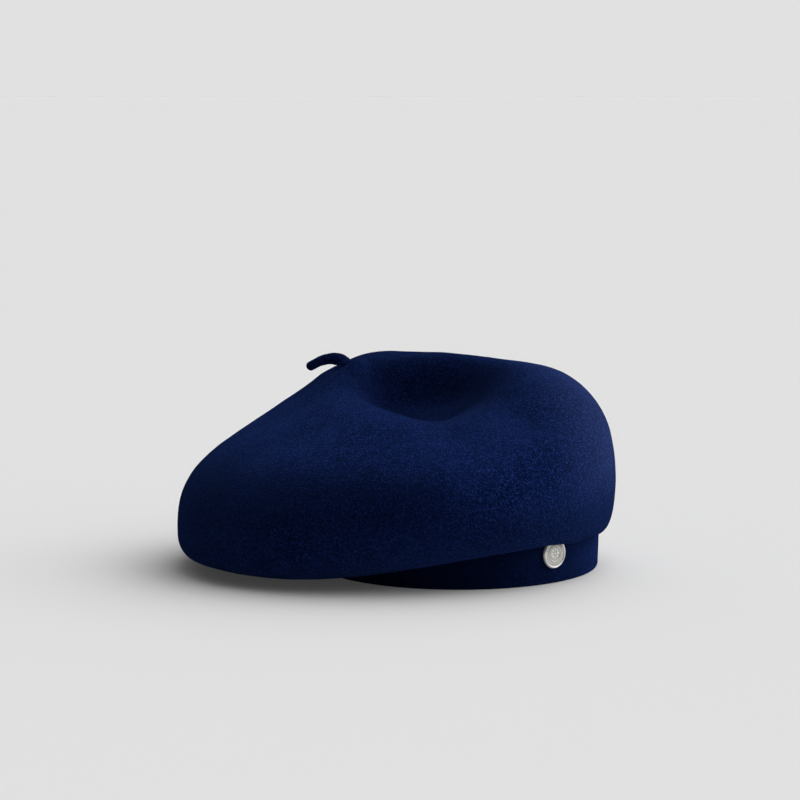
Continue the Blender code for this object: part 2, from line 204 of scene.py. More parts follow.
def modifier(thing, kind, **settings):
    made = thing.modifiers.new(kind.lower(), kind)
    for name, value in settings.items():
        setattr(made, name, value)
    return made


def solidify(thing, thickness, offset=-1):
    modifier(thing, "SOLIDIFY", thickness=thickness, offset=offset, use_even_offset=False)


def smooth_noise(points, size, seed):
    """Noise from about -1 to 1 at each point, with features of the size."""
    shift = Vector((seed * 3.7, seed * 5.1, seed * 7.3))
    return np.array([noise.noise(Vector(p) / size + shift) for p in points])


def cloth_lengths(thing, shape, along, across):
    """The cloth's own length and width at each point, for the ribs of a ribbon."""
    cloth = np.zeros((*shape, 3))
    cloth[..., 0] = along
    cloth[..., 1] = across
    point_values(thing, "cloth", cloth.reshape(-1, 3))


def rings(side, up, sides):
    """Unit circles of points, each in the plane of its own side and up directions."""
    turn = (np.arange(sides) * math.tau / sides)[None, :, None]
    return np.cos(turn) * side[:, None] + np.sin(turn) * up[:, None]


def tube_faces(rows, sides, start=0):
    """The skin of a tube of rings of points, with a cap over each end."""
    faces = grid_faces(rows, sides, True, start).tolist()
    faces.append([start + i for i in range(sides)][::-1])
    faces.append([start + (rows - 1) * sides + i for i in range(sides)])
    return faces


def tubes(name, paths, radius, material, sides=8):
    """Round capped tubes, one along each path of points, joined as one mesh."""
    points, faces = [], []
    for path in paths:
        path = np.asarray(path, float)
        along = unit(np.gradient(path, axis=0))
        helper = (0, 0, 1) if abs(along[0][2]) < 0.8 else (0, 1, 0)
        side = unit(np.cross(along, helper))
        share = np.linspace(0, 1, len(path))
        width = radius * np.sqrt(np.clip(1 - np.abs(2 * share - 1) ** 6, 0.08, 1))
        faces.extend(tube_faces(len(path), sides, len(points)))
        ring = rings(side, np.cross(side, along), sides)
        points.extend((path[:, None] + ring * width[:, None, None]).reshape(-1, 3))
    return mesh_object(name, points, faces, material)


# ---- materials


class Look:
    """A Principled material built up from procedural nodes."""

    def __init__(self, name, colour, roughness, **sockets):
        self.material = bpy.data.materials.new(name)
        self.material.use_nodes = True
        self.nodes = self.material.node_tree.nodes
        self.links = self.material.node_tree.links
        self.shader = self.nodes["Principled BSDF"]
        self.shader.inputs["Base Color"].default_value = (*colour, 1)
        self.shader.inputs["Roughness"].default_value = roughness
        for socket, value in sockets.items():
            self.shader.inputs[socket.replace("_", " ")].default_value = value
        self.coordinates = self.nodes.new("ShaderNodeTexCoord").outputs["Object"]

    def node(self, kind, output=0, **inputs):
        """A new node's output. Each input is a link, a value or a setting of the node, with _ for a space."""
        made = self.nodes.new("ShaderNode" + kind)
        for key, value in inputs.items():
            key = key.replace("_", " ")
            if key in made.inputs and isinstance(value, bpy.types.NodeSocket):
                self.links.new(value, made.inputs[key])
            elif key in made.inputs:
                made.inputs[key].default_value = value
            else:
                setattr(made, key.replace(" ", "_"), value)
        return made.outputs[output]

    def noise(self, scale, detail=2.0, roughness=0.5, vector=None):
        return self.node(
            "TexNoise", Vector=vector or self.coordinates, Scale=scale, Detail=detail, Roughness=roughness
        )

    def stretched(self, *factors):
        return self.node("Mapping", Vector=self.coordinates, Scale=factors)

    def ramp(self, value, low, high):
        """The value's share of the way from low to high, within 0 and 1."""
        return self.node(
            "MapRange", interpolation_type="SMOOTHSTEP", Value=value, From_Min=low, From_Max=high
        )

    def wave(self, direction, scale, vector=None, **inputs):
        vector = vector or self.coordinates
        return self.node("TexWave", "Fac", bands_direction=direction, Scale=scale, Vector=vector, **inputs)

    def maths(self, operation, a, b):
        made = self.nodes.new("ShaderNodeMath")
        made.operation = operation
        for socket, value in zip(made.inputs, (a, b)):
            if isinstance(value, bpy.types.NodeSocket):
                self.links.new(value, socket)
            else:
                socket.default_value = value
        return made.outputs[0]

    def colours(self, factor, a, b):
        """A colour between a and b."""
        made = self.nodes.new("ShaderNodeMix")
        made.data_type = "RGBA"
        self.links.new(factor, made.inputs["Factor"])
        for name, value in (("A", a), ("B", b)):
            socket = next(s for s in made.inputs if s.name == name and s.type == "RGBA")
            if isinstance(value, bpy.types.NodeSocket):
                self.links.new(value, socket)
            else:
                socket.default_value = (*value, 1)
        return next(s for s in made.outputs if s.type == "RGBA")

    def attribute(self, name, output="Vector"):
        return self.node("Attribute", output, attribute_name=name)

    def set(self, socket, value):
        self.links.new(value, self.shader.inputs[socket])

    def bump(self, *layers):
        """Bumps from (height, distance, strength) layers, coarse first."""
        normal = None
        for height, distance, strength in layers:
            below = {"Normal": normal} if normal else {}
            normal = self.node("Bump", Height=height, Distance=distance, Strength=strength, **below)
        self.set("Normal", normal)


def felt_look(name, dark, light, sheen):
    """Wool felt: a matted ground, pale fibre ends on it, and the sheen of its nap.

    A point value paints the colour darker, as painted shade (on the stalk simply darker felt), and another
    paints it paler, as a painted sheen on the lit side.
    """
    look = Look(
        name, dark, 1.0, Specular_IOR_Level=0.0, Sheen_Weight=sheen, Sheen_Roughness=0.5,
        Sheen_Tint=(0.15, 0.31, 1.0, 1),
    )
    darkening = look.attribute("darkening", "Fac")
    painted_sheen = look.attribute("painted_sheen", "Fac")
    cloud = look.ramp(look.noise(24, 3), 0.3, 0.7)
    mat = look.noise(560, 3, 0.6)
    ends = look.noise(1250, 2, 0.8)
    fibres = look.noise(1.0, 3, 0.7, look.stretched(420, 1700, 900))
    speck = look.maths("MULTIPLY", look.ramp(ends, 0.47, 0.66), look.ramp(mat, 0.30, 0.64))
    speck = look.maths("MAXIMUM", speck, look.ramp(fibres, 0.64, 0.78))
    middle = tuple(mix(a, b, 0.10) for a, b in zip(dark, light))
    ground = look.colours(cloud, dark, middle)
    napped = look.colours(speck, ground, light)
    # painted sheen: the lit side's colour turned towards a pale blue, most on the fibre ends
    sheen_share = look.maths("MULTIPLY", painted_sheen, look.maths("ADD", look.maths("MULTIPLY", speck, 0.75), 0.25))
    napped = look.colours(sheen_share, napped, PAINTED_SHEEN_COLOUR)
    # painted shade on the crown and headband, and a darker tone on the stalk: the colour darkened towards a
    # dark navy
    look.set("Base Color", look.colours(darkening, napped, tuple(c * 0.4 for c in dark)))
    look.bump((mat, 1.0 * MM, 0.4), (ends, 1.2 * MM, 1.0))
    return look.material


def grosgrain_look():
    """A ribbed ribbon: ribs across it, from its own length and width."""
    look = Look(
        "grosgrain", (0.006, 0.009, 0.03), 0.62, Specular_IOR_Level=0.3, Sheen_Weight=0.25,
        Sheen_Roughness=0.4, Sheen_Tint=(0.5, 0.6, 1.0, 1),
    )
    rib = look.wave("X", 320, look.attribute("cloth"), Distortion=0.4, Detail_Scale=4.0)
    yarn = look.noise(2200, 2)
    look.set("Base Color", look.colours(rib, (0.003, 0.005, 0.018), (0.011, 0.017, 0.05)))
    look.bump((rib, 0.35 * MM, 0.9), (yarn, 0.15 * MM, 0.3))
    return look.material


def satin_look():
    look = Look(
        "satin_lining", (0.008, 0.011, 0.038), 0.36, Specular_IOR_Level=0.5, Anisotropic=0.5,
        Sheen_Weight=0.15, Sheen_Roughness=0.3,
    )
    weave = look.noise(1.0, 2, 0.5, look.stretched(5200, 900, 2600))
    cloud = look.noise(60, 2)
    shade = look.ramp(weave, 0.3, 0.7)
    look.set("Base Color", look.colours(shade, (0.005, 0.008, 0.028), (0.012, 0.017, 0.055)))
    look.set("Roughness", look.maths("ADD", look.maths("MULTIPLY", cloud, 0.2), 0.26))
    look.bump((weave, 0.12 * MM, 0.35))
    return look.material


def tape_look(name, dark, light):
    """Woven label tape, with a fine twill on it."""
    look = Look(name, light, 0.7, Specular_IOR_Level=0.25, Sheen_Weight=0.15, Sheen_Roughness=0.5)
    twill = look.wave("DIAGONAL", 620)
    yarn = look.noise(1800, 2)
    look.set("Base Color", look.colours(look.maths("MULTIPLY", twill, yarn), light, dark))
    look.bump((twill, 0.12 * MM, 0.5), (yarn, 0.1 * MM, 0.4))
    return look.material


def thread_look():
    look = Look(
        "thread", (0.010, 0.016, 0.06), 0.6, Specular_IOR_Level=0.2, Sheen_Weight=0.1,
        Sheen_Tint=(0.2, 0.35, 1.0, 1),
    )
    twist = look.wave("DIAGONAL", 900)
    look.set("Base Color", look.colours(twist, (0.006, 0.010, 0.04), (0.016, 0.024, 0.085)))
    look.bump((twist, 0.1 * MM, 0.6))
    return look.material


def silver_look():
    """Cast plated metal: bright where it stands proud and dull grey in its hollows."""
    look = Look("silver", (0.74, 0.73, 0.70), 0.3, Metallic=1.0)
    height = look.attribute("relief", "Fac")
    worn = look.ramp(height, 0.15, 0.65)
    cloud = look.noise(700, 3, 0.6)
    grain = look.noise(2600, 3, 0.6)
    tone = look.maths("MULTIPLY", worn, look.ramp(cloud, 0.1, 0.5))
    look.set("Base Color", look.colours(tone, (0.56, 0.555, 0.52), (0.97, 0.96, 0.93)))
    look.set("Roughness", look.maths("SUBTRACT", 0.58, look.maths("MULTIPLY", tone, 0.2)))
    look.bump((grain, 0.06 * MM, 0.3))
    return look.material


def brass_look():
    look = Look("brass", (0.72, 0.55, 0.26), 0.3, Metallic=1.0)
    scratches = look.noise(1.0, 3, 0.6, look.stretched(4000, 900, 1500))
    cloud = look.noise(500, 3)
    look.set("Base Color", look.colours(look.ramp(cloud, 0.3, 0.75), (0.74, 0.57, 0.28), (0.50, 0.36, 0.16)))
    look.set("Roughness", look.maths("ADD", look.maths("MULTIPLY", scratches, 0.25), 0.2))
    look.bump((scratches, 0.04 * MM, 0.3))
    return look.material


NAVY_DARK = (0.0008, 0.0042, 0.0270)
NAVY_LIGHT = (0.021, 0.052, 0.275)
# the pale blue of the painted sheen on the felt's lit side
PAINTED_SHEEN_COLOUR = (0.07, 0.10, 0.27)
felt = felt_look("navy_felt", NAVY_DARK, NAVY_LIGHT, 0.10)
band_felt = felt_look("navy_band_felt", NAVY_DARK, NAVY_LIGHT, 0.08)
grosgrain = grosgrain_look()
satin = satin_look()
white_tape = tape_look("label_tape", (0.48, 0.48, 0.46), (0.78, 0.78, 0.75))
dark_tape = tape_look("woven_label", (0.02, 0.022, 0.05), (0.06, 0.065, 0.11))
thread = thread_look()
silver = silver_look()
brass = brass_look()


# ---- the crown's form


def directions(count):
    return circle(np.arange(count) * math.tau / count)


def reach_of_crown(way, inset):
    """How far the crown's outline is from the middle of the head opening, in each direction."""
    half = CROWN_HALF - inset
    near = np.zeros(len(way))
    far = np.full(len(way), 3 * CROWN_HALF[0])
    for _ in range(40):
        middle = (near + far) / 2
        at = np.abs(BAND_CENTRE + way * middle[:, None]) / half
        inside = (at**CROWN_SQUARENESS).sum(1) < 1
        near = np.where(inside, middle, near)
        far = np.where(inside, far, middle)
    return near


def reach_of_band(way):
    return 1 / np.hypot(way[:, 0] / BAND_HALF[0], way[:, 1] / BAND_HALF[1])


def rim_low(x):
    lifted = 19.9 * MM * smoothstep(-86.4 * MM, 111.7 * MM, x)
    return 5.5 * MM + lifted - 1.6 * MM * smoothstep(100 * MM, 137 * MM, x)


def widest_z(x):
    return mix(26.3 * MM, 53.3 * MM, smoothstep(-130 * MM, 130 * MM, x))


def headroom_at(way):
    """1 where the badge is and 0 away from it."""
    at = BADGE_AT.xy - Vector(BAND_CENTRE)
    turn = np.abs(np.arctan2(way[:, 1], way[:, 0]) - math.atan2(at.y, at.x))
    turn = np.minimum(turn, math.tau - turn)
    return 1 - smoothstep(math.radians(6), math.radians(20), turn)


def dent(xy, wider=0.0):
    """Depth of the hollow pressed into the top."""
    x, y = np.moveaxis(xy - DENT_CENTRE, -1, 0)
    reach = np.where(y > 0, DENT_BACK, DENT_FRONT) + wider
    backwards = smoothstep(0, 25 * MM, y)
    square = mix(mix(2.0, 2.9, backwards), 1.55, smoothstep(0, -18 * MM, y))
    across = np.abs(x + DENT_SKEW * y) / (DENT_SIDES + wider)
    away = (across**square + np.abs(y / reach) ** square) ** (1 / square)
    steepness = mix(mix(3.2, 5.0, backwards), 2.3, smoothstep(6 * MM, -26 * MM, y))
    return DENT_DEPTH * np.exp(-(away**steepness))


def upper_surface(way, equator, inset, steps):
    """From the widest line of the crown up to the stalk's hole, one row of points for each step."""
    apex = APEX - (0, 0, inset)
    to_apex = unit(apex[:2] - equator[:, :2])
    collar = np.column_stack([apex[:2] - to_apex * STALK_COLLAR, np.full(len(way), apex[2])])
    rise = apex[2] - equator[:, 2]
    above = equator + np.outer(blend_by_side(way, 1.15, 1.06, 0.525, 0.456) * rise, (0, 0, 1))
    reach = blend_by_side(way, 0.69, 0.516, 0.632, 0.638)[:, None]
    shoulder = apex + (equator - apex) * reach
    shoulder[:, 2] = apex[2] - blend_by_side(way, -0.149, -0.168, 0.579, 0.20) * rise
    grid = bezier((equator, above, shoulder, collar), np.arange(1, steps + 1) / steps)
    grid[..., 2] -= dent(grid[..., :2], inset / 2)
    top = TOP_Z - inset
    flat = smoothstep(STALK_COLLAR * 2.4, STALK_COLLAR, np.linalg.norm(grid[..., :2] - apex[:2], axis=2))
    slope = top + COLLAR_TILT * (grid[..., 0] - apex[0])
    grid[..., 2] = mix(grid[..., 2], slope, flat)
    reaches = np.linspace(STALK_COLLAR, STALK_HOLE, 5)[1:]
    inner = [mix(grid[-1], np.array((*apex[:2], top)), 1 - reach / STALK_COLLAR) for reach in reaches]
    for row in inner:
        row[:, 2] = top + COLLAR_TILT * (row[:, 0] - apex[0])
    return np.concatenate([grid, inner])


def out_from_band(way, band, out, z):
    """Points at distances out from the headband's outer face, at heights z."""
    return np.dstack([*np.moveaxis(BAND_CENTRE + way * (band + out)[..., None], -1, 0), z])


def crown_grid(rays, fold_steps, roll_steps, upper_steps):
    way = directions(rays)
    band = reach_of_band(way)
    width = reach_of_crown(way, 0) - band
    rim_x = BAND_CENTRE[0] + way[:, 0] * (band + width)
    low = rim_low(rim_x)
    fold = width * blend_by_side(way, 0.303, 0.50, 0.716, 0.412)
    over_badge = headroom_at(way)
    zero = np.zeros(rays)
    lip = np.stack([zero + 0.3 * MM, zero + SEAM_Z + 0.4 * MM], 1)
    below = (
        lip,
        lip + np.stack([mix(0.08 * fold, 5 * MM, over_badge), zero - 0.2 * MM], 1),
        np.stack([mix(0.32 * fold, 6 * MM, over_badge), low + 2 * MM * over_badge], 1),
        np.stack([fold, low], 1),
    )
    curve = bezier(below, np.arange(fold_steps + 1) / fold_steps)
    seam = [
        np.stack([zero - BAND_FELT * share, zero + SEAM_Z + (0.1 + 0.1 * share) * MM], 1)
        for share in (1, 0.66, 0.33)
    ]
    widest = widest_z(rim_x)
    power = 2 / (2 + 1.42 * smoothstep(0, -110 * MM, rim_x))
    roll = []
    for step in range(1, roll_steps + 1):
        turn = math.pi / 2 * step / roll_steps
        out = fold + (width - fold) * math.sin(turn) ** power
        roll.append(np.stack([out, widest - (widest - low) * abs(math.cos(turn)) ** power], 1))
    profile = np.concatenate([seam, curve, roll])
    under = out_from_band(way, band, profile[..., 0], profile[..., 1])
    return np.concatenate([under, upper_surface(way, under[-1], 0, upper_steps)])


def grid_normals(grid):
    """Unit normals of a ring-shaped grid, looking away from its hollow."""
    around = np.roll(grid, -1, 1) - np.roll(grid, 1, 1)
    upwards = np.gradient(grid, axis=0)
    normal = np.cross(around, upwards)
    return normal / np.maximum(np.linalg.norm(normal, axis=2), 1e-9)[..., None]


def along_fold(points):
    """1 in the middle of the soft diagonal fold of the top's front right, and 0 away from it."""
    start, end = (np.array(at) * MM for at in FOLD_LINE)
    length = np.linalg.norm(end - start)
    way = (end - start) / length
    away = points[:, :2] - start
    along = away @ way
    across = away @ (-way[1], way[0]) + 3 * MM * np.sin(along / length * math.pi)
    ends = smoothstep(-12 * MM, 14 * MM, along) * smoothstep(length + 12 * MM, length - 22 * MM, along)
    return np.exp(-((across / FOLD_WIDTH) ** 2)) * ends


def make_crown():
    grid = crown_grid(rays=300, fold_steps=16, roll_steps=14, upper_steps=92)
    normal = grid_normals(grid)
    flat = grid.reshape(-1, 3)
    waves = 0.55 * MM * smooth_noise(flat, 42 * MM, 1) + 0.16 * MM * smooth_noise(flat, 11 * MM, 2)
    rows = np.repeat(np.arange(grid.shape[0]), grid.shape[1])
    loose = smoothstep(6, 26, rows) * smoothstep(grid.shape[0] - 1, grid.shape[0] - 12, rows)
    waves = waves * loose - FOLD_DEPTH * along_fold(flat) * (flat[:, 2] > 60 * MM)
    top = smoothstep(68 * MM, 84 * MM, flat[:, 2])
    for middle, half_width, lift in TOP_UNEVENNESS:
        waves += lift * MM * top * np.exp(-(((flat[:, 0] - middle * MM) / (half_width * MM)) ** 2))
    flat = flat + normal.reshape(-1, 3) * waves[:, None]
    crown = grid_object("felt_crown", flat.reshape(grid.shape), True, felt)
    height = flat[:, 2]
    # painted shade: darker felt in and just around the hollow, the hollow's shape moved and widened
    reaches = [dent(flat[:, :2] - np.array((x, y)) * MM, wider * MM) for x, y, wider in HOLLOW_SHADE]
    hollow = np.max(reaches, axis=0) / DENT_DEPTH
    hollow = np.clip(1.15 * hollow, 0, 1) * smoothstep(56 * MM, 66 * MM, height)
    # painted shade low down on the crown, most on the left, and in the fold
    left = smoothstep(62 * MM, 8 * MM, flat[:, 0])
    low_left = 0.58 * smoothstep(82 * MM, 60 * MM, height) - 0.18 * smoothstep(50 * MM, 22 * MM, height)
    low_right = 0.42 * smoothstep(60 * MM, 34 * MM, height)
    low_shade = mix(low_right, low_left, left) + 0.2 * along_fold(flat)
    point_values(crown, "darkening", np.maximum(0.58 * hollow, low_shade))
    # painted sheen: paler felt high on the lit right side, kept out of the hollow and the fold
    right = smoothstep(55 * MM, 130 * MM, flat[:, 0] + 0.3 * flat[:, 1])
    high = smoothstep(34 * MM, 78 * MM, height)
    point_values(crown, "painted_sheen", 0.6 * right * high * (1 - hollow) * (1 - 0.6 * along_fold(flat)))
    solidify(crown, CROWN_FELT)
    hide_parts("crown")
    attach(crown, "root")
    return BVHTree.FromPolygons([Vector(v) for v in flat], grid_faces(*grid.shape[:2], True).tolist())


crown_skin = make_crown()


# ---- headband and sweatband


def oval(turn, inset=0.0):
    """Points of the headband's outer oval, or of one inset from it."""
    return BAND_CENTRE + (BAND_HALF - np.asarray(inset)[..., None]) * circle(turn)


def oval_normal(turn):
    return unit(circle(turn) / BAND_HALF)


def strip(name, profile, start, end, columns, *materials):
    """A closed section of (inset, height) points, drawn along the oval from one angle to another."""
    turn = np.linspace(start, end, columns)
    points = np.array([np.column_stack([oval(turn, inset), np.full(columns, z)]) for inset, z in profile])
    rows = len(profile)
    faces = []
    for row in range(rows):
        after = (row + 1) % rows
        for a, b in zip(range(row * columns, (row + 1) * columns - 1), itertools.count(after * columns)):
            faces.append((a, b, b + 1, a + 1))
    faces.append([row * columns for row in range(rows)][::-1])
    faces.append([row * columns + columns - 1 for row in range(rows)])
    made = mesh_object(name, points.reshape(-1, 3), faces, *materials)
    heights = np.array([height for _, height in profile])
    cloth_lengths(made, (rows, columns), length_along(oval(turn)), heights[:, None])
    return made


def rounded_section(inner, outer, low, top, radius, steps=4):
    """A rectangle with round corners, as (inset, height) points, anticlockwise from the outside."""
    middles = (
        (outer + radius, low + radius, math.pi),
        (inner - radius, low + radius, math.pi * 1.5),
        (inner - radius, top - radius, 0.0),
        (outer + radius, top - radius, math.pi * 0.5),
    )
    section = []
    for x, z, start in middles:
        for step in range(steps + 1):
            turn = start + math.pi / 2 * step / steps
            section.append((x + radius * math.cos(turn), z + radius * math.sin(turn)))
    return section


def make_headband():
    joint_gap = GAP / 3 / BAND_HALF[0]
    section = rounded_section(BAND_FELT, 0, 0, SEAM_Z - 0.15 * MM, 1.25 * MM, 6)
    band = strip(
        "felt_headband", section, math.pi / 2 + joint_gap, math.pi * 5 / 2 - joint_gap, 420, band_felt
    )
    flat = np.array([v.co for v in band.data.vertices])
    lift = smoothstep(0.2 * MM, 3 * MM, flat[:, 2]) * smoothstep(SEAM_Z, SEAM_Z - 8 * MM, flat[:, 2])
    x, y = ((flat[:, :2] - BAND_CENTRE) / BAND_HALF).T
    turn = np.arctan2(y, x)
    waves = 0.25 * MM * smooth_noise(flat, 30 * MM, 4) * lift
    # the lower outer edge is worn round
    outer = np.repeat([1 - inset / BAND_FELT for inset, _ in section], len(flat) // len(section))
    waves = waves - 1.1 * MM * outer * smoothstep(4.5 * MM, 0, flat[:, 2])
    flat[:, :2] += oval_normal(turn) * waves[:, None]
    band.data.vertices.foreach_set("co", flat.ravel())
    # painted shadow: darker felt where the crown hangs over it
    x = flat[:, 0]
    overhang_shadow = 0.6 * smoothstep(134 * MM, 104 * MM, x) + 0.25 * smoothstep(98 * MM, 50 * MM, x)
    point_values(band, "darkening", overhang_shadow)
    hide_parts("headband")
    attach(band, "root")


make_headband()


# ---- stalk


def make_stalk():
    """A rolled felt cord: round, tapering to a blunt tip, with a rough skin."""
    root = np.array(STALK_ROOT)
    curl = np.array(((0, 0, 0), (-3.6, 0, 4.0), (-12.5, -0.5, 4.3), (-23.4, -1.5, -3.5))) * MM
    steps, sides = 90, 40
    t = np.linspace(0, 1, steps)
    path = np.concatenate([[root - UP * 0.9 * MM], root + bezier(tuple(curl), t)])
    t = np.concatenate([[0], t])
    along = unit(np.gradient(path, axis=0))
    # the rings lie flat in the felt at the root, and turn square to the cord along its first part
    along = unit(mix(np.array(UP), along, smoothstep(0, 0.32, t)[:, None]))
    side = unit(np.cross(along, (0, 1, 0)))
    tip = np.clip((1 - t) / 0.09, 0, 1)
    width = STALK_RADIUS * mix(1.3, 1.08, smoothstep(0.35, 0.9, t)) + 3.1 * MM * np.exp(-((t / 0.17) ** 1.5))
    width = width * np.clip(1 - (1 - tip) ** 2.6, 0.02, 1) ** 0.5
    ring = rings(side, np.cross(along, side), sides)
    grid = path[:, None] + ring * width[:, None, None]
    flat = grid.reshape(-1, 3)
    rough = 0.16 * MM * smooth_noise(flat, 3.5 * MM, 8) + 0.08 * MM * smooth_noise(flat, 1.3 * MM, 9)
    grid = grid + ring * rough.reshape(grid.shape[:2])[..., None]
    stalk = mesh_object("felt_stalk", grid.reshape(-1, 3), tube_faces(len(path), sides), felt)
    # the whole stalk's felt is darker in colour
    point_values(stalk, "darkening", np.full(len(flat), 0.6))
    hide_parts("stalk", "stalk_root")
    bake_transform(stalk)


make_stalk()


# ---- sweatband, bow and lining


def ribbed_strip(name, material, inset, low, top, thickness, start, end, pitch, rib):
    """A grosgrain ribbon along the oval: ribs across both faces, and small loops along both edges."""
    turn = np.linspace(start, end, 4 * 2400)
    length = length_along(oval(turn, inset))
    ribs = round(length[-1] / pitch)
    along = np.linspace(0, length[-1], 4 * ribs + 1)
    turn = np.interp(along, length, turn)
    wave = np.cos(np.arange(len(turn)) * math.pi / 2)
    heights = np.concatenate([[0, 0.012, 0.05], np.linspace(0.16, 0.84, 5), [0.95, 0.988, 1]])
    sag = 0.22 * MM * np.sin(along / (31 * MM)) + 0.13 * MM * np.sin(along / (11 * MM) + 1)
    rows = []
    for face in (0, 1):
        for share in heights if face == 0 else heights[::-1]:
            edge = min(share, 1 - share) < 0.004
            picot = (0.16 * MM * wave if edge else 0) * (1 if share > 0.5 else -1)
            swell = rib * wave * (0.4 if edge else 1)
            off = inset + (thickness / 2 if edge else thickness * face) + (swell if face else -swell)
            xy = oval(turn, off + sag * share)
            rows.append(np.column_stack([xy, mix(low, top, share) + picot + 0 * along]))
    grid = np.array(rows)[::-1]
    count, columns = grid.shape[:2]
    faces = grid_faces(count, columns, False).tolist()
    last = (count - 1) * columns
    faces += [(last + c, last + c + 1, c + 1, c) for c in range(columns - 1)]
    faces.append([row * columns for row in range(count)])
    faces.append([row * columns + columns - 1 for row in range(count)][::-1])
    made = mesh_object(name, grid.reshape(-1, 3), faces, material)
    cloth_lengths(made, (count, columns), along, grid[..., 2])
    return made, length[-1]


def make_sweatband():
    gap = GAP / BAND_HALF[0]
    low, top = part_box("sweatband")[0].z, BAND_TOP + 2.2 * MM
    band, length = ribbed_strip(
        "grosgrain_sweatband", grosgrain, SWEAT_INSET + 0.1 * MM, low, top, SWEAT_RIBBON - 0.2 * MM,
        math.pi / 2 + gap, math.pi * 5 / 2 - gap, 1.0 * MM, 0.07 * MM,
    )
    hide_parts("sweatband")
    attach(band, "root")


def inner_frame(angle, height, inset):
    """Origin on the inner side of the sweatband, Z towards the head, X along the ribbon."""
    z = Vector((*-oval_normal(np.array(angle)), 0))
    return frame_at(Vector((*oval(np.array(angle), inset), height)), z)


def frame_at(point, outward):
    z = outward.normalized()
    x = UP.cross(z).normalized()
    return Matrix.Translation(point) @ Matrix((x, z.cross(x), z)).transposed().to_4x4()


def placed(points, place):
    """The points, which are in the place's own frame, in the row frame."""
    matrix = np.array(place)
    return np.asarray(points) @ matrix[:3, :3].T + matrix[:3, 3]


def make_bow():
    """A flat bow: two folded loops of ribbon and a knot over their middle."""
    inset = SWEAT_INSET + SWEAT_RIBBON + GAP
    middle = sum(v.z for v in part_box("bow_knot")) / 2
    reach, knot_half = 15 * MM, 2.4 * MM
    per_mm = 1 / (BAND_HALF[0] - inset)
    hairpin = np.array((
        (knot_half * 0.4, 0.3 * MM), (reach * 0.6, 0.35 * MM), (reach - 0.9 * MM, 0.3 * MM),
        (reach, 1.1 * MM), (reach - 0.9 * MM, 2.0 * MM), (reach * 0.6, 2.2 * MM), (knot_half * 0.4, 1.5 * MM),
    ))
    share = np.linspace(0, 1, len(hairpin))
    fine = np.linspace(0, 1, 61)
    # rounds the hairpin's corners with a moving average over the fine steps
    path = np.stack([np.interp(fine, share, hairpin[:, i]) for i in (0, 1)], 1)
    for _ in range(10):
        path[1:-1] = (path[:-2] + 2 * path[1:-1] + path[2:]) / 4
    for name, node, side in (("bow_loop_left", "bow_left_loop", -1), ("bow_loop_right", "bow_right_loop", 1)):
        across = np.linspace(-1, 1, 15)
        half = mix(2.2 * MM, 3.6 * MM, smoothstep(knot_half, reach, path[:, 0]))
        turn = math.pi / 2 + side * path[:, 0] * per_mm
        grid = np.empty((len(path), len(across), 3))
        for c, h in enumerate(across):
            crease = 0.25 * MM * math.cos(h * math.pi * 1.5) * (1 - smoothstep(knot_half, 9 * MM, path[:, 0]))
            grid[:, c] = np.column_stack([oval(turn, inset + path[:, 1] + crease), middle + h * half])
        loop = grid_object(name, grid if side < 0 else grid[:, ::-1], False, grosgrain)
        cloth_lengths(loop, grid.shape[:2], length_along(path)[:, None], grid[..., 2])
        solidify(loop, 0.4 * MM, 0)
        modifier(loop, "BEVEL", width=0.12 * MM, segments=2, limit_method="ANGLE")
        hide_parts(node)
        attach(loop, "root")
    place = inner_frame(math.pi / 2, middle, inset)
    sides, steps = 48, 13
    turn = np.linspace(0, math.tau, sides, endpoint=False)
    rows = []
    for x in np.linspace(-1, 1, steps):
        tuck = 1 - 0.16 * x * x
        y = 2.9 * MM * tuck * np.sign(np.cos(turn)) * np.abs(np.cos(turn)) ** 0.6
        z = 1.55 * MM + 1.45 * MM * tuck * np.sign(np.sin(turn)) * np.abs(np.sin(turn)) ** 0.8
        z = z + 0.18 * MM * np.cos(3 * math.pi * x) * (np.sin(turn) > 0)
        rows.append(np.stack([x * (knot_half + 0 * turn), y, z], 1))
    points = placed(np.array(rows).reshape(-1, 3), place)
    knot = mesh_object("bow_wrapped_knot", points, tube_faces(steps, sides), grosgrain)
    across = np.linspace(0, 2 * knot_half, steps)[:, None]
    cloth_lengths(knot, (steps, sides), np.linspace(0, 15 * MM, sides), across)
    modifier(knot, "SUBSURF", levels=1, render_levels=1)
    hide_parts("bow_knot")
    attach(knot, "root")


